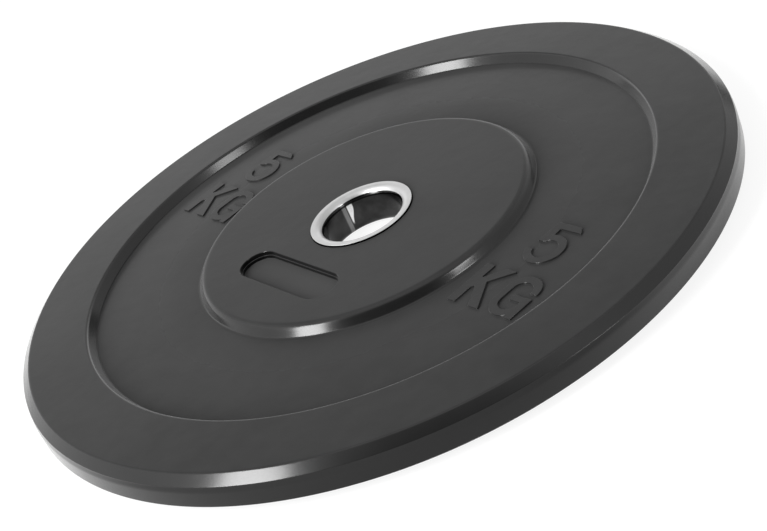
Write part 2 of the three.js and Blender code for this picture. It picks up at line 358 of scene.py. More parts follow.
def letter_g():
    top, height = -5.3 * MM, 32 * MM
    left, width, stroke = 1.9 * MM, 23 * MM, 4.7 * MM
    bar_drop, bar_height, bar_inset = 15.2 * MM, 4.1 * MM, 10 * MM
    tail = math.radians(305)
    outer = width / 2
    inner = outer - stroke
    centre_x = left + outer
    right = left + width
    upper_y = top - outer
    lower_y = top - height + outer
    bar_top = top - bar_drop
    return [
        *arc(centre_x, upper_y, outer, 0, math.pi, GLYPH_ARC_STEPS),
        *arc(centre_x, lower_y, outer, math.pi, tail, GLYPH_ARC_STEPS),
        (right - stroke, top - height, CUTTER),
        (right, top - height, CUTTER),
        (right, bar_top, CUTTER),
        (left + bar_inset, bar_top, CUTTER),
        (left + bar_inset, bar_top - bar_height, CUTTER),
        (right - stroke, bar_top - bar_height, CUTTER),
        *arc(centre_x, lower_y, inner, 0, -math.pi, GLYPH_ARC_STEPS),
        *arc(centre_x, upper_y, inner, math.pi, 0, GLYPH_ARC_STEPS),
    ]


glyphs = [anticlockwise(drawn) for drawn in (figure_five(), letter_k(), letter_g())]
print("corners in the marking's outlines:", [len(glyph) for glyph in glyphs])

# %% [markdown]
# ## The rubber
#
# The rubber's section runs from the web out over the rim, down the tread and back under the plate to the
# bore. The bevels, the parting land on the tread and both steps are corners of one profile. The hub's step
# is a second profile. Between them lie the web and the hub face, two flat rings with holes for the marking
# and the recess.

# %% Section sizes of the rubber
web_depth = front_z - web_z
hub_slope, hub_edge, hub_foot = math.radians(58), 5.5 * MM, 2.8 * MM
rim_slope, rim_edge, rim_foot = math.radians(60), 2.3 * MM, 1 * MM
back_depth, back_slope, back_edge = 2 * MM, math.radians(45), 1.5 * MM
bevel_width, bevel_height, bevel_edge = 6.45 * MM, 5.05 * MM, 2.4 * MM
land_depth, land_height, land_taper = 0.7 * MM, 0.4 * MM, 2.7 * MM
land_edge, land_corner, land_blend = 0.5 * MM, 0.2 * MM, 7 * MM
tread_edge, back_bevel_edge, bore_edge = 0.5 * MM, 0.6 * MM, 0.3 * MM
face_radius = plate_radius - bevel_width
land_top = front_z - bevel_height * (bevel_width - land_depth) / bevel_width
flat_guard = 1.2 * MM


def edge_corner(face, radius, slope, side):
    """Radius of a rounded edge's sharp corner, from the radius where its flat face ends."""
    return face + side * radius * math.tan(slope / 2)


hub_top_r = edge_corner(hub_radius, hub_edge, hub_slope, 1)
hub_foot_r = hub_top_r + web_depth / math.tan(hub_slope)
rim_top_r = edge_corner(rim_radius, rim_edge, rim_slope, -1)
rim_foot_r = rim_top_r - web_depth / math.tan(rim_slope)
back_hub_r = edge_corner(hub_radius, back_edge, back_slope, 1)
back_rim_r = edge_corner(rim_radius, back_edge, back_slope, -1)
back_run = back_depth / math.tan(back_slope)
web_inner = hub_foot_r + hub_foot + flat_guard
web_outer = rim_foot_r - rim_foot - flat_guard
hub_outer = hub_radius - flat_guard
hub_inner = rubber_bore_radius + flat_guard
print("hub foot", round(hub_foot_r / MM, 2), "rim foot", round(rim_foot_r / MM, 2), "mm")

# %% Section of the rim, the tread, the back and the bore, and section of the hub's step
HUB_ARC_STEPS = 16
outer_section = rounded([
    (web_outer, web_z, 0),
    (rim_foot_r, web_z, rim_foot),
    (rim_top_r, front_z, rim_edge),
    (face_radius, front_z, bevel_edge),
    (plate_radius - land_depth, land_top, land_edge),
    (plate_radius - land_depth, land_top - land_height, land_corner),
    (plate_radius, land_top - land_height - land_taper, land_blend),
    (plate_radius, back_z + bevel_height, tread_edge),
    (face_radius, back_z, back_bevel_edge),
    (back_rim_r, back_z, back_edge),
    (back_rim_r - back_run, back_z + back_depth, back_edge),
    (back_hub_r + back_run, back_z + back_depth, back_edge),
    (back_hub_r, back_z, back_edge),
    (rubber_bore_radius, back_z, bore_edge),
    (rubber_bore_radius, front_z, bore_edge),
    (hub_inner, front_z, 0),
])
hub_section = rounded([
    (hub_outer, front_z, 0),
    (hub_top_r, front_z, hub_edge),
    (hub_foot_r, web_z, hub_foot),
    (web_inner, web_z, 0),
], steps=HUB_ARC_STEPS)
print("profile points:", len(outer_section), "and", len(hub_section))

# %% [markdown]
# ## The recess and the marking's walls
#
# A badge would sit in the recess, which is left bare. It is a slot with round ends, a little to the right of
# the middle, and its wall has a ledge that a badge would lie on. The marking's wall is a short draft between
# two fillets: the one at the foot is the larger, as the cutter leaves it.

# %% Outline of the recess and section of its wall
recess_length, recess_width, recess_depth = 86 * MM, 24.7 * MM, 4.4 * MM
recess_shift, recess_drop = 1.3 * MM, 60.9 * MM
recess_end = recess_width / 2
recess_end_x = recess_length / 2 - recess_end
quarter = math.pi / 2
end_steps = 2 * GLYPH_ARC_STEPS
recess_outline = [
    *arc(recess_shift + recess_end_x, -recess_drop, recess_end, -quarter, quarter, end_steps),
    *arc(recess_shift - recess_end_x, -recess_drop, recess_end, quarter, 3 * quarter, end_steps),
]
recess_draft, recess_ledge, ledge_drop = 0.2 * MM, 0.55 * MM, 2.6 * MM
recess_edge, ledge_foot, ledge_edge, floor_foot = 0.3 * MM, 0.08 * MM, 0.1 * MM, 0.12 * MM
recess_margin, floor_margin, fine_guard = 1.6 * MM, 3 * MM, 0.15 * MM
ledge_z = front_z - ledge_drop
floor_z = front_z - recess_depth
recess_section = rounded([
    (recess_margin, front_z, 0),
    (0, front_z, recess_edge),
    (-recess_draft, ledge_z, ledge_foot),
    (-recess_draft - recess_ledge, ledge_z, ledge_edge),
    (-2 * recess_draft - recess_ledge, floor_z, floor_foot),
    (-floor_margin, floor_z, 0),
], guard=fine_guard)
print("recess wall has", len(recess_section), "points, floor at", round(floor_z / MM, 2), "mm")

# %% Section of the marking's wall, and where the marking stands
relief, relief_draft, relief_foot, relief_edge = 1.1 * MM, 0.2 * MM, 0.25 * MM, 0.15 * MM
relief_margin, relief_inset = 1.0 * MM, 1.3 * MM
marking_reach, marking_shift, marking_rise = 137.5, 2.85, 1.5
relief_section = rounded([
    (relief_margin, web_z, 0),
    (relief_draft, web_z, relief_foot),
    (0, web_z + relief, relief_edge),
    (-relief_inset, web_z + relief, 0),
], guard=fine_guard, steps=4)
marking_centres = [
    Vector(((marking_shift + side * marking_reach) * MM, marking_rise * MM)) for side in (-1, 1)
]
print("marking centres:", [tuple(round(value / MM, 2) for value in centre) for centre in marking_centres])

# %% [markdown]
# ## Sewing the surfaces together
#
# Every surface so far ends where the next begins, so points that lie on each other are merged. One place
# needs more: the foot of the left G runs into the foot of the hub. There the flat face has points where the
# two outlines cross, and the walls don't. The walls' long edges are split at those points before the last
# merge, and the mesh closes. The count of open edges that each piece prints should be nought.

# %% Sew a mesh and make it a piece
SEW = 0.001 * MM


def close_crossings(mesh):
    """Where a letter's foot crosses the hub's foot, gives the walls the points that the fill has there."""
    loose = [edge for edge in mesh.edges if edge.is_boundary]
    points = {vert for edge in loose for vert in edge.verts}
    for edge in loose:
        start, end = edge.verts
        for point in points - {start, end}:
            along = end.co - start.co
            share = (point.co - start.co).dot(along) / along.length_squared
            if 0 < share < 1 and (start.co + along * share - point.co).length < SEW:
                bmesh.utils.edge_split(edge, start, share)
                break
    bmesh.ops.remove_doubles(mesh, verts=mesh.verts, dist=SEW)


def finish_mesh(mesh, name):
    """Sews the surfaces together, turns every face outwards and links the piece to the scene."""
    bmesh.ops.remove_doubles(mesh, verts=mesh.verts, dist=SEW)
    close_crossings(mesh)
    bmesh.ops.recalc_face_normals(mesh, faces=mesh.faces)
    if mesh.calc_volume(signed=True) < 0:
        bmesh.ops.reverse_faces(mesh, faces=mesh.faces)
    open_edges = sum(1 for edge in mesh.edges if not edge.is_manifold)
    volume = round(mesh.calc_volume() * 1e6, 1)
    print(name, len(mesh.faces), "faces,", open_edges, "open edges,", volume, "cm3")
    data = bpy.data.meshes.new(name)
    mesh.to_mesh(data)
    mesh.free()
    data.polygons.foreach_set("use_smooth", [True] * len(data.polygons))
    piece = bpy.data.objects.new(name, data)
    scene.collection.objects.link(piece)
    return piece


# %% Make the rubber's mesh
rubber_bm = bmesh.new()
turn_profile(rubber_bm, outer_section)
turn_profile(rubber_bm, hub_section)
recess_hole = sweep_wall(rubber_bm, recess_outline, recess_section)
fill_flat(rubber_bm, [circle(hub_outer), circle(hub_inner), recess_hole], front_z)
marking_holes = []
for centre in marking_centres:
    for glyph in glyphs:
        outline = [(x + centre.x, y + centre.y, radius) for x, y, radius in glyph]
        marking_holes.append(sweep_wall(rubber_bm, outline, relief_section))
fill_flat(rubber_bm, [circle(web_outer), circle(web_inner), *marking_holes], web_z)
rubber = finish_mesh(rubber_bm, "moulded_rubber")

# %% [markdown]
# ## The sleeve
#
# The sleeve is turned from steel tube. Its two ends stand a millimetre proud of the rubber, so that plates
# on a bar bear steel on steel, and its mouths are rounded so that the bar slides in. The CAD ring has the
# same section in flats; this one has it in fine arcs, because bright steel shows every flat.

# %% Make the sleeve
bore_radius = 25.2 * MM
mouth_radius = 4.9 * MM
sleeve_chamfer = 0.2 * MM
MOUTH_STEPS = 16
sleeve_section = rounded([
    (bore_radius, sleeve_low.z, mouth_radius),
    (sleeve_radius, sleeve_low.z, sleeve_chamfer),
    (sleeve_radius, sleeve_top, sleeve_chamfer),
    (bore_radius, sleeve_top, mouth_radius),
], closed=True, steps=MOUTH_STEPS)
sleeve_bm = bmesh.new()
turn_profile(sleeve_bm, sleeve_section, closed=True)
sleeve = finish_mesh(sleeve_bm, "turned_sleeve")

# %% Tie the pieces to the frame
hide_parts("rubber_disc")
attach(rubber, "root")
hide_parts("bore_sleeve")
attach(sleeve, "root")
print(rubber.name, "stands for rubber_disc and", sleeve.name, "for bore_sleeve")

# %% [markdown]
# ## Helpers for materials
#
# A material is a small network of nodes. Short helpers keep the cells below readable: one adds a node with
# its settings and links, one adds a sum, and one blends two values. A mask is a value from nought to one
# that says where a finish lies. `ramp` makes one that changes once, and `band` one that rises and falls.

# %% Node helpers


def node(tree, kind, inputs=None, **settings):
    made = tree.nodes.new(kind)
    for name, value in settings.items():
        setattr(made, name, value)
    for name, value in (inputs or {}).items():
        if isinstance(value, bpy.types.NodeSocket):
            tree.links.new(value, made.inputs[name])
        else:
            made.inputs[name].default_value = value
    return made


def calc(tree, operation, *values):
    return node(tree, "ShaderNodeMath", dict(enumerate(values)), operation=operation).outputs[0]


def blend(tree, factor, low, high):
    inputs = {"Factor": factor, "A": low, "B": high}
    return node(tree, "ShaderNodeMix", inputs, data_type="FLOAT").outputs["Result"]


def ramp(tree, value, low, high, to_low=0.0, to_high=1.0):
    inputs = {"Value": value, "From Min": low, "From Max": high, "To Min": to_low, "To Max": to_high}
    return node(tree, "ShaderNodeMapRange", inputs, interpolation_type="SMOOTHSTEP").outputs["Result"]


def band(tree, value, start, full, fade, end):
    return calc(tree, "MULTIPLY", ramp(tree, value, start, full), ramp(tree, value, end, fade))


def grey(tree, value):
    parts = {"Red": value, "Green": value, "Blue": value}
    return node(tree, "ShaderNodeCombineColor", parts).outputs["Color"]


# %% [markdown]
# ## Node groups
#
# An effect that several materials share is a node group, built once and placed in each of them with its own
# values. A group has named sockets, which Blender keeps in the group's interface.

# %% Open a node group, and place one in a material


def open_group(name, inputs, outputs):
    group = bpy.data.node_groups.new(name, "ShaderNodeTree")
    for socket, default in inputs.items():
        made = group.interface.new_socket(socket, in_out="INPUT", socket_type="NodeSocketFloat")
        made.default_value = default
    for socket in outputs:
        group.interface.new_socket(socket, in_out="OUTPUT", socket_type="NodeSocketFloat")
    return group, group.nodes.new("NodeGroupInput").outputs, group.nodes.new("NodeGroupOutput").inputs


def use_group(tree, group, inputs=None):
    return node(tree, "ShaderNodeGroup", inputs, node_tree=group).outputs


# %% [markdown]
# ## Where a point lies on the plate
#
# Turned parts are marked in rings: the tool leaves lines round the axis, and moulded rubber flows out from
# the middle. So every finish here asks how far a point is from the axis, how far round it is and how high.
# One group works that out from the object's own coordinates, in millimetres.

# %% Group: plate position
plate_position, given, wanted = open_group("plate_position", {}, ["Radius", "Round", "Height"])
place = node(plate_position, "ShaderNodeTexCoord").outputs["Object"]
split = node(plate_position, "ShaderNodeSeparateXYZ", {"Vector": place}).outputs
squares = [calc(plate_position, "POWER", split[axis], 2.0) for axis in ("X", "Y")]
distance = calc(plate_position, "SQRT", calc(plate_position, "ADD", *squares))
round_angle = calc(plate_position, "ARCTAN2", split["Y"], split["X"])
plate_position.links.new(calc(plate_position, "MULTIPLY", distance, 1 / MM), wanted["Radius"])
plate_position.links.new(round_angle, wanted["Round"])
plate_position.links.new(calc(plate_position, "MULTIPLY", split["Z"], 1 / MM), wanted["Height"])
print("plate_position gives", [socket.name for socket in wanted if socket.name])

# %% [markdown]
# ## Grain
#
# Nothing here is perfectly even. Rubber has a cloudy tone from the release wax and a fine tooth from the
# blasted mould, and steel has a little cloudiness too. One group gives both: a fine height for the bump and
# a slow tone for colour and roughness, each with its own size in millimetres. Most of the noise lies in
# the middle of its range, and that part is spread over the tones that a finish asks for.

# %% Group: grain
MOST_OF_NOISE = 0.3, 0.7

grain, given, wanted = open_group("grain", {"Cloud size": 40, "Tooth size": 0.6}, ["Cloud", "Tooth"])
place = node(grain, "ShaderNodeTexCoord").outputs["Object"]
for size, output, detail in (("Cloud size", "Cloud", 3.0), ("Tooth size", "Tooth", 2.0)):
    scale = calc(grain, "DIVIDE", 1 / MM, given[size])
    noise = node(grain, "ShaderNodeTexNoise", {"Vector": place, "Scale": scale, "Detail": detail})
    grain.links.new(noise.outputs["Fac"], wanted[output])
print("grain takes", [socket.name for socket in given if socket.name])

# %% [markdown]
# ## Rings left by turning
#
# A lathe tool leaves fine lines round the axis. Noise that is read along the radius and the height, and
# not round the axis, gives rings of uneven depth, as a real feed mark has.

# %% Group: turning rings
turning, given, wanted = open_group("turning_rings", {"Pitch": 0.3}, ["Rings"])
at = use_group(turning, plate_position)
across = calc(turning, "DIVIDE", calc(turning, "ADD", at["Radius"], at["Height"]), given["Pitch"])
ring_inputs = {"W": across, "Scale": 1.0, "Detail": 2.0}
ring_noise = node(turning, "ShaderNodeTexNoise", ring_inputs, noise_dimensions="1D")
turning.links.new(ring_noise.outputs["Fac"], wanted["Rings"])
print("turning_rings has", len(turning.nodes), "nodes")

# %% [markdown]
# ## The rubber's two finishes
#
# The mould's flat faces were blasted, so the rubber is matt there: a deep black with a faint sheen, which
# grows where the eye meets the face at a low angle, as it does on any surface with a fine tooth. Its
# slopes, which are the bevels, the steps and the walls of the marking, came from a polished mould, so the
# rubber there is glossy and shows the room. One mask tells the two apart, by how level the surface is.
# The fillets where slopes meet the web are matt as well, since polishing doesn't reach into a corner.

# %% Start a material, and find how level its surface is


def new_material(name):
    material = bpy.data.materials.new(name)
    material.use_nodes = True
    tree = material.node_tree
    tree.nodes.clear()
    shader = tree.nodes.new("ShaderNodeBsdfPrincipled")
    output = tree.nodes.new("ShaderNodeOutputMaterial")
    tree.links.new(shader.outputs["BSDF"], output.inputs["Surface"])
    return material, tree, shader


def levelness(tree):
    normal = node(tree, "ShaderNodeNewGeometry").outputs["Normal"]
    return calc(tree, "ABSOLUTE", node(tree, "ShaderNodeSeparateXYZ", {"Vector": normal}).outputs["Z"])


# %% Rubber: where each finish lies, in millimetres from the axis and up from the table
PAST_HUB = 114, 118
TOWARDS_RIM = 114, 150
FILLET_HEIGHT = 14, 15, 17.6, 17.95
FILLET_REACH = 192, 188
LEVEL_FROM = 0.8
LEVEL_ON_HUB, LEVEL_ON_RIM = 0.98, 0.97

rubber_finish, tree, shader = new_material("black_rubber")
at = use_group(tree, plate_position)
level = levelness(tree)
past_hub = ramp(tree, at["Radius"], *PAST_HUB)
towards_rim = ramp(tree, at["Radius"], *TOWARDS_RIM)
level_enough = ramp(tree, past_hub, 0, 1, LEVEL_ON_HUB, LEVEL_ON_RIM)
fillets = band(tree, at["Height"], *FILLET_HEIGHT)
fillets = calc(tree, "MULTIPLY", fillets, ramp(tree, at["Radius"], *FILLET_REACH))
matt = calc(tree, "MAXIMUM", ramp(tree, level, LEVEL_FROM, level_enough), fillets)
print("black_rubber: nodes for where it is matt,", len(tree.nodes))

# %% [markdown]
# ## Recess, marking and rim slope
#
# Three places differ a little. The recess's walls are painted darker, as painted shade, and have hardly any
# gloss, and its floor is painted a lighter matt black, a painted light that offsets the shade of its walls.
# The marking's walls are rougher than the steps, because the cutter that engraved them is small. The rim's
# inner slope is a touch duller than the hub's.

# %% Rubber: masks of the recess, the marking and the rim's slope
RECESS_REACH = 88, 84
RECESS_TOP = 23.1, 22.9
MARKING_REACH = 172, 170
MARKING_FOOT = 17.26, 17.4
RIM_SLOPE = 168, 172, 186, 190


def within(tree, at, reach, height):
    return calc(tree, "MULTIPLY", ramp(tree, at["Radius"], *reach), ramp(tree, at["Height"], *height))


recess = within(tree, at, RECESS_REACH, RECESS_TOP)
recess_floor = calc(tree, "MULTIPLY", recess, matt)
recess_wall = calc(tree, "SUBTRACT", recess, recess_floor)
marking = calc(tree, "MULTIPLY", past_hub, within(tree, at, MARKING_REACH, MARKING_FOOT))
rim_slope_mask = band(tree, at["Radius"], *RIM_SLOPE)
print("with recess, marking and rim slope,", len(tree.nodes))

# %% [markdown]
# ## The rubber's colour and gloss
#
# Two clouds, a wide one and a small one, vary the black by up to a tenth. The gloss is a coat
# over the matt base: Coat Weight may change over the surface and is kept when the model is exported, which
# isn't so of the specular level. What is the same everywhere is set on the shader itself.

# %% Rubber: colour, coat and sheen
SLOPE_BLACK, FLAT_BLACK = 0.011, 0.029
CLOUD_TONE, PATCH_TONE = (0.93, 1.07), (0.96, 1.04)
FLOOR_PAINTED_LIGHT, WALL_PAINTED_SHADE = 0.022, -0.008
DULL_WALL = 0.85

spots = use_group(tree, grain, {"Cloud size": 55, "Tooth size": 0.45})
patches = use_group(tree, grain, {"Cloud size": 12, "Tooth size": 2.2})
cloud = ramp(tree, spots["Cloud"], *MOST_OF_NOISE, *CLOUD_TONE)
patch = ramp(tree, patches["Cloud"], *MOST_OF_NOISE, *PATCH_TONE)
tone = calc(
    tree, "MULTIPLY", ramp(tree, matt, 0, 1, SLOPE_BLACK, FLAT_BLACK), calc(tree, "MULTIPLY", cloud, patch)
)
# Painted light and shade in the recess: its floor is painted lighter and its walls darker.
tone = calc(tree, "ADD", tone, calc(tree, "MULTIPLY", FLOOR_PAINTED_LIGHT, recess_floor))
tone = calc(tree, "ADD", tone, calc(tree, "MULTIPLY", WALL_PAINTED_SHADE, recess_wall))
tree.links.new(grey(tree, tone), shader.inputs["Base Color"])

glossy = calc(tree, "SUBTRACT", 1.0, matt)
not_dull = calc(tree, "SUBTRACT", 1.0, calc(tree, "MULTIPLY", DULL_WALL, recess_wall))
tree.links.new(calc(tree, "MULTIPLY", glossy, not_dull), shader.inputs["Coat Weight"])
for socket, value in (
    ("IOR", 1.5),
    ("Specular IOR Level", 0.05),
    ("Coat Roughness", 0.17),
    ("Coat IOR", 1.5),
    ("Sheen Weight", 0.26),
    ("Sheen Roughness", 0.35),
):
    shader.inputs[socket].default_value = value
    print(socket, value)

# %% [markdown]
# ## The rubber's roughness
#
# Strokes of the polishing stone across a slope leave short streaks that point at the axis. They come from
# noise that is read faster round the axis than along the radius. The flats are rougher near the hub than
# at the rim, which rubs on other plates.

# %% Rubber: roughness
STREAKS_ROUND, STREAKS_ALONG = 60.0, 0.06
MOST_OF_STREAKS = 0.35, 0.75
POLISH_ON_HUB, POLISH_ON_RIM = 0.2, 0.16
STREAK_ON_HUB, STREAK_ON_RIM = 0.01, 0.03
RIM_SLOPE_CHANGE, RECESS_WALL_CHANGE, MARKING_CHANGE = 0.05, -0.1, 0.2
FLAT_BY_HUB, FLAT_BY_RIM, RECESS_FLOOR_CHANGE = 0.37, 0.23, 0.25

streak_place = node(tree, "ShaderNodeCombineXYZ", {
    "X": calc(tree, "MULTIPLY", at["Round"], STREAKS_ROUND),
    "Y": calc(tree, "MULTIPLY", at["Radius"], STREAKS_ALONG),
    "Z": calc(tree, "MULTIPLY", at["Height"], STREAKS_ALONG),
}).outputs["Vector"]
streak_noise = node(tree, "ShaderNodeTexNoise", {"Vector": streak_place, "Scale": 1.0, "Detail": 3.0})
streak = ramp(tree, streak_noise.outputs["Fac"], *MOST_OF_STREAKS, -1.0, 1.0)
streak = calc(tree, "MULTIPLY", streak, ramp(tree, past_hub, 0, 1, STREAK_ON_HUB, STREAK_ON_RIM))
polish = calc(tree, "ADD", ramp(tree, past_hub, 0, 1, POLISH_ON_HUB, POLISH_ON_RIM), streak)
for mask, change in (
    (rim_slope_mask, RIM_SLOPE_CHANGE),
    (recess, RECESS_WALL_CHANGE),
    (marking, MARKING_CHANGE),
):
    polish = calc(tree, "ADD", polish, calc(tree, "MULTIPLY", mask, change))
blasted = calc(tree, "MULTIPLY", ramp(tree, towards_rim, 0, 1, FLAT_BY_HUB, FLAT_BY_RIM), patch)
blasted = calc(tree, "ADD", blasted, calc(tree, "MULTIPLY", recess, RECESS_FLOOR_CHANGE))
tree.links.new(blend(tree, matt, polish, blasted), shader.inputs["Roughness"])
print("with colour, gloss and roughness,", len(tree.nodes))

# %% [markdown]
# ## The rubber's tooth
#
# Two bumps lie on each other: the blasted tooth, a hundredth of a millimetre deep and almost absent on the
# slopes, and a slow swell of a tenth, as hot-pressed rubber has. The form itself is in the mesh.

# %% Rubber: bump
TOOTH_ON_SLOPES = 0.08
TOOTH_DEPTH, SWELL_DEPTH = 0.012 * MM, 0.12 * MM

tooth = calc(tree, "MULTIPLY", spots["Tooth"], ramp(tree, matt, 0, 1, TOOTH_ON_SLOPES, 1.0))
fine = node(tree, "ShaderNodeBump", {"Height": tooth, "Distance": TOOTH_DEPTH, "Strength": 1.0})
slow = node(tree, "ShaderNodeBump", {
    "Height": patches["Cloud"],
    "Distance": SWELL_DEPTH,
    "Strength": 1.0,
    "Normal": fine.outputs["Normal"],
})
tree.links.new(slow.outputs["Normal"], shader.inputs["Normal"])
rubber.data.materials.append(rubber_finish)
print("black_rubber has", len(tree.nodes), "nodes")

# %% [markdown]
# ## The steel's finishes
#
# The sleeve is turned steel. Its end faces and the lip of its mouth are satin, with faint rings. The wall of
# the bore, its rear mouth and the outside wall are painted a dark tone, which is painted shade, and on one
# side of the bore a bright wedge, with a faint grey streak beside it, is a painted reflection. The hooks
# inside the rubber are plain drawn rod.

# %% Sleeve: where the painted shade lies
REAR_MOUTH_REACH = 29.9, 29.5
REAR_MOUTH_TOP = 4.9, 4.7
BORE_STEEPNESS, BORE_REACH = (0.56, 0.5), (28.5, 28)
OUTSIDE_STEEPNESS, OUTSIDE_REACH = (0.6, 0.4), (32, 32.2)

sleeve_finish, tree, shader = new_material("turned_steel")
rings = use_group(tree, turning, {"Pitch": 0.25})["Rings"]
spots = use_group(tree, grain, {"Cloud size": 9, "Tooth size": 0.5})
at = use_group(tree, plate_position)
level = levelness(tree)
rear_mouth = within(tree, at, REAR_MOUTH_REACH, REAR_MOUTH_TOP)
bore_wall = calc(
    tree, "MULTIPLY", ramp(tree, level, *BORE_STEEPNESS), ramp(tree, at["Radius"], *BORE_REACH)
)
outside = calc(
    tree, "MULTIPLY", ramp(tree, level, *OUTSIDE_STEEPNESS), ramp(tree, at["Radius"], *OUTSIDE_REACH)
)
# Painted shade lies on the bore's wall, the rear mouth and the outside wall.
painted_shade = calc(tree, "MAXIMUM", outside, calc(tree, "MAXIMUM", rear_mouth, bore_wall))
print("turned_steel: nodes for where its coat lies,", len(tree.nodes))

# %% Sleeve: the painted reflection, a bright wedge and a grey streak, in degrees round the bore
WEDGE_SLANT = 7, 18, 165.2, 158.6
WEDGE_SOFTNESS = -0.7, 0.7
WEDGE_FAR_EDGE = 167.8, 166.6
WEDGE_HEIGHT = 6, 9, 19.4, 20.4
STREAK_ROUND = 168.2, 169.6, 173.5, 176.5
STREAK_SHARE = 0.2

turned = calc(tree, "DEGREES", at["Round"])
past_edge = calc(tree, "SUBTRACT", turned, ramp(tree, at["Height"], *WEDGE_SLANT))
reflected_wedge = calc(tree, "MULTIPLY", ramp(tree, past_edge, *WEDGE_SOFTNESS), ramp(tree, turned, *WEDGE_FAR_EDGE))
reflected_wedge = calc(tree, "MULTIPLY", reflected_wedge, band(tree, at["Height"], *WEDGE_HEIGHT))
reflected_streak = calc(tree, "MULTIPLY", band(tree, turned, *STREAK_ROUND), STREAK_SHARE)
painted_reflection = calc(tree, "MAXIMUM", reflected_wedge, reflected_streak)
print("with the wedge and the streak,", len(tree.nodes))

# %% Sleeve: colour, roughness and bump
SATIN_TONE = 0.66, 0.7
SHADE_TONE, SHADE_CLOUD, REFLECTION_TONE = 0.045, (0.8, 1.3), 0.9
SATIN_ROUGHNESS, SHADED_ROUGHNESS = 0.45, 0.2
RING_ROUGHNESS = 0.9, 1.1
RING_DEPTH = 0.004 * MM

bright = ramp(tree, spots["Cloud"], *MOST_OF_NOISE, *SATIN_TONE)
# The dark tone of the painted shade, clouded a little.
shade_tone = calc(tree, "MULTIPLY", SHADE_TONE, ramp(tree, spots["Cloud"], *MOST_OF_NOISE, *SHADE_CLOUD))
# The painted reflection brightens the painted shade on one side of the bore.
tone = blend(tree, painted_shade, bright, blend(tree, painted_reflection, shade_tone, REFLECTION_TONE))
tree.links.new(grey(tree, tone), shader.inputs["Base Color"])
shader.inputs["Metallic"].default_value = 1.0
rough = ramp(tree, painted_shade, 0, 1, SATIN_ROUGHNESS, SHADED_ROUGHNESS)
rough = calc(tree, "MULTIPLY", rough, ramp(tree, rings, *MOST_OF_NOISE, *RING_ROUGHNESS))
tree.links.new(rough, shader.inputs["Roughness"])
bump = node(tree, "ShaderNodeBump", {"Height": rings, "Distance": RING_DEPTH, "Strength": 1.0})
tree.links.new(bump.outputs["Normal"], shader.inputs["Normal"])
sleeve.data.materials.append(sleeve_finish)
print("turned_steel has", len(tree.nodes), "nodes")

# %% Hooks: drawn rod
ROD_TONE, ROD_ROUGHNESS = (0.3, 0.38), (0.38, 0.52)
ROD_TOOTH_DEPTH = 0.02 * MM

rod_finish, tree, shader = new_material("drawn_rod")
spots = use_group(tree, grain, {"Cloud size": 6, "Tooth size": 0.3})
tone = ramp(tree, spots["Cloud"], *MOST_OF_NOISE, *ROD_TONE)
tree.links.new(grey(tree, tone), shader.inputs["Base Color"])
shader.inputs["Metallic"].default_value = 1.0
rough = ramp(tree, spots["Cloud"], *MOST_OF_NOISE, *ROD_ROUGHNESS)
tree.links.new(rough, shader.inputs["Roughness"])
bump = node(tree, "ShaderNodeBump", {"Height": spots["Tooth"], "Distance": ROD_TOOTH_DEPTH, "Strength": 1.0})
tree.links.new(bump.outputs["Normal"], shader.inputs["Normal"])
hooks = [piece for name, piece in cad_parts.items() if name.startswith("anchor_hook")]
for hook in hooks:
    hook.data.materials.clear()
    hook.data.materials.append(rod_finish)
print("hooks with the rod's finish:", len(hooks))

# %% [markdown]
# ## The studio
#
# The plate is lit as a catalogue picture is: a white table, pale walls, a tall leaning soft box at the left,
# a small one at the right, and darkness behind the camera. Glossy black rubber is a mirror that returns
# four hundredths of the light, and little else comes back from it, so what its slopes show is the room.
# The studio has its own axes: x runs to the camera's right, y away from the camera and z up.

# %% Studio axes
STUDIO_TURN = math.radians(62.18)


def studio(x, y, z):
    cos, sin = math.cos(STUDIO_TURN), math.sin(STUDIO_TURN)
    return Vector((x * cos - y * sin, x * sin + y * cos, z))


print("the camera looks towards", tuple(round(value, 2) for value in studio(0, 1, 0)))

# %% [markdown]
# ## The soft boxes
#
# Each soft box is an area lamp that the camera doesn't see. The tall one makes the long highlights on the
# bevel and on the steps of hub and rim, and its lean sets where along each slope they end. The flats are
# matt, so it lights them without a mirror image of itself, except from the low angles opposite to it.

# %% Soft boxes


def soft_box(name, place, aim, width, height, lean, radiance):
    data = bpy.data.lights.new(name, "AREA")
    data.shape = "RECTANGLE"
    data.size = width
    data.size_y = height
    data.energy = radiance * math.pi * width * height
    box = bpy.data.objects.new(name, data)
    box.rotation_mode = "QUATERNION"
    box.location = place
    box.rotation_quaternion = (aim - place).to_track_quat("-Z", "Y") @ Quaternion((0, 0, 1), lean)
    box.visible_camera = False
    scene.collection.objects.link(box)
    print(name, width, "by", height, "m,", round(data.energy, 1), "W")
    return box


left_place = studio(-1.5, -0.78, 1.2)
left_aim = left_place + studio(1, 0, 0)
soft_box("left_soft_box", left_place, left_aim, width=0.72, height=1.98, lean=math.radians(22), radiance=15)
right_place = studio(1.0, -1.03, 0.98)
right_aim = Vector((0, 0, 0))
soft_box("right_soft_box", right_place, right_aim, width=0.38, height=0.36, lean=0, radiance=8)

# %% [markdown]
# ## The room around the table
#
# The camera sees plain white behind the plate. Reflections see a room instead, given by bearing, in degrees
# to the right of straight ahead, and by height above the horizon: a wall ahead that is brightest about
# eighteen degrees up, a bright wall at the left, a dimmer one at the right, and a plain ceiling. The side
# behind and above the camera is dark, and so is a small gap between two walls, ahead on the right.

# %% Room: directions
world = bpy.data.worlds.new("studio")
world.use_nodes = True
tree = world.node_tree
tree.nodes.clear()
direction = node(tree, "ShaderNodeTexCoord").outputs["Generated"]


def towards(vector):
    made = node(tree, "ShaderNodeVectorMath", operation="DOT_PRODUCT")
    tree.links.new(direction, made.inputs[0])
    made.inputs[1].default_value = vector.normalized()
    return made.outputs["Value"]


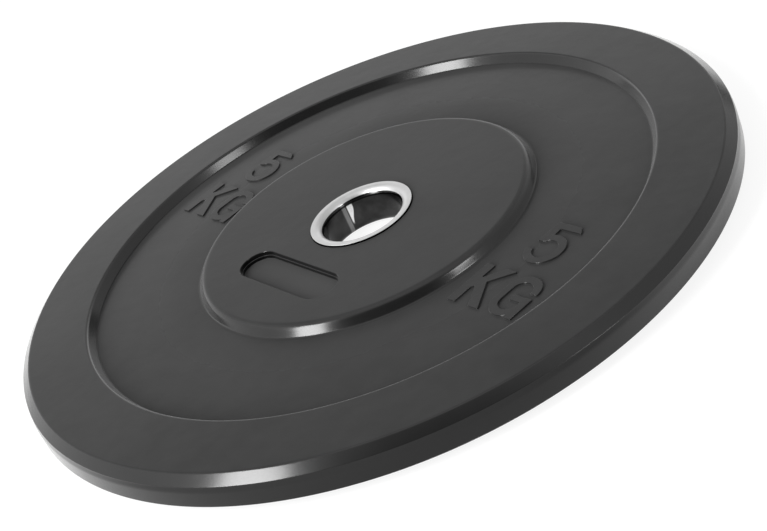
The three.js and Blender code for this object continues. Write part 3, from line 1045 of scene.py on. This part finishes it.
to_right, ahead, up = towards(studio(1, 0, 0)), towards(studio(0, 1, 0)), towards(Vector((0, 0, 1)))
bearing = calc(tree, "DEGREES", calc(tree, "ARCTAN2", to_right, ahead))
height = calc(tree, "DEGREES", calc(tree, "ARCSINE", up))
print("studio: nodes for bearing and height,", len(tree.nodes))

# %% Room: walls and ceiling
AHEAD_FOOT, AHEAD_HEIGHT = (9, 16), (20, 38)
AHEAD_LEFT_LOW, AHEAD_RIGHT_LOW = 0.77, 1.0
AHEAD_LEFT, AHEAD_RIGHT = (1.55, 0.45), (1.5, 0.45)
LEFT_WALL = 28, 42, 0.85, 1.0
RIGHT_WALL_NEAR, RIGHT_WALL_FAR = (4, 20, 0.42, 0.56), 0.75
RIGHT_WALL_TURN = 105, 130
LEFT_CORNER, MIDDLE, RIGHT_CORNER = (-45, -18), (-4, 4), (18, 45)
CEILING_FROM, CEILING = (54, 70), 0.82

above_foot = ramp(tree, height, *AHEAD_FOOT)
ahead_left = blend(tree, above_foot, AHEAD_LEFT_LOW, ramp(tree, height, *AHEAD_HEIGHT, *AHEAD_LEFT))
ahead_right = blend(tree, above_foot, AHEAD_RIGHT_LOW, ramp(tree, height, *AHEAD_HEIGHT, *AHEAD_RIGHT))
wall_ahead = blend(tree, ramp(tree, bearing, *MIDDLE), ahead_left, ahead_right)
wall_left = ramp(tree, height, *LEFT_WALL)
turn = ramp(tree, bearing, *RIGHT_WALL_TURN)
wall_right = blend(tree, turn, ramp(tree, height, *RIGHT_WALL_NEAR), RIGHT_WALL_FAR)
walls = blend(tree, ramp(tree, bearing, *RIGHT_CORNER), wall_ahead, wall_right)
walls = blend(tree, ramp(tree, bearing, *LEFT_CORNER), wall_left, walls)
room = blend(tree, ramp(tree, height, *CEILING_FROM), walls, CEILING)
print("with walls and ceiling,", len(tree.nodes))

# %% Room: dark side, gap and the camera's white
DARK_SIDE_TOWARDS, DARK_SIDE = (-0.12, -0.76, 0.64), (0.68, 0.95, 1.0, 0.0)
GAP_TOWARDS, GAP = (0.643, 0.765, 0.035), (0.991, 0.998, 1.0, 0.15)
WHITE = 1.0

dark_side = ramp(tree, towards(studio(*DARK_SIDE_TOWARDS)), *DARK_SIDE)
gap = ramp(tree, towards(studio(*GAP_TOWARDS)), *GAP)
room = calc(tree, "MULTIPLY", calc(tree, "MULTIPLY", room, dark_side), gap)
seen = node(tree, "ShaderNodeLightPath").outputs["Is Camera Ray"]
strength = blend(tree, seen, room, WHITE)
background = node(tree, "ShaderNodeBackground", {"Color": (1, 1, 1, 1), "Strength": strength})
output = node(tree, "ShaderNodeOutputWorld")
tree.links.new(background.outputs["Background"], output.inputs["Surface"])
scene.world = world
print("with dark side, gap and white,", len(tree.nodes))

# %% [markdown]
# ## The table
#
# The table is white to the camera, and still takes the plate's soft shadow: most of its white is its own,
# and the rest is lit by the lamps, so the shadow only takes that part away. In reflections it is a dimmer
# white, with a painted shade in front of the plate, where the plate's tread and lower bevel see it, that
# stands for the plate's shadow there.

# %% Make the table
TABLE_SIZE = 8
TABLE_GLOW, MIRRORED_GLOW = 0.86, 0.45
TABLE_ALBEDO, MIRRORED_ALBEDO = 0.2, 0.6
NEAR_TOWARDS, NEAR_SHADE = (-0.35, -1, 0), (0.12, 0.24, 1.0, 0.45)

bpy.ops.mesh.primitive_plane_add(size=TABLE_SIZE, location=(0, 0, 0))
table = bpy.context.active_object
table.name = "table"
table_finish = bpy.data.materials.new("white_table")
table_finish.use_nodes = True
tree = table_finish.node_tree
tree.nodes.clear()
spot = node(tree, "ShaderNodeNewGeometry").outputs["Position"]
nearness = node(tree, "ShaderNodeVectorMath", operation="DOT_PRODUCT")
tree.links.new(spot, nearness.inputs[0])
nearness.inputs[1].default_value = studio(*NEAR_TOWARDS).normalized()
# A painted shade: in reflections the table is darker in front of the plate, where the plate's shadow lies.
shade = ramp(tree, nearness.outputs["Value"], *NEAR_SHADE)

# %% Table: its own white and its paint
rays = node(tree, "ShaderNodeLightPath").outputs
seen = calc(tree, "MAXIMUM", rays["Is Camera Ray"], rays["Is Transmission Ray"])
mirrored = rays["Is Glossy Ray"]
mirrored_white = calc(tree, "MULTIPLY", mirrored, calc(tree, "MULTIPLY", shade, MIRRORED_GLOW))
own_white = calc(tree, "ADD", calc(tree, "MULTIPLY", seen, TABLE_GLOW), mirrored_white)
albedo = blend(tree, mirrored, TABLE_ALBEDO, calc(tree, "MULTIPLY", shade, MIRRORED_ALBEDO))
glow = node(tree, "ShaderNodeEmission", {"Color": (1, 1, 1, 1), "Strength": own_white})
paint = node(tree, "ShaderNodeBsdfDiffuse", {"Color": grey(tree, albedo)})
both = node(tree, "ShaderNodeAddShader")
tree.links.new(glow.outputs["Emission"], both.inputs[0])
tree.links.new(paint.outputs["BSDF"], both.inputs[1])
tree.links.new(both.outputs["Shader"], node(tree, "ShaderNodeOutputMaterial").inputs["Surface"])
table.data.materials.append(table_finish)
print("table", TABLE_SIZE, "m across")

# %% Colour settings
scene.view_settings.view_transform = "Standard"
print("view transform:", scene.view_settings.view_transform)
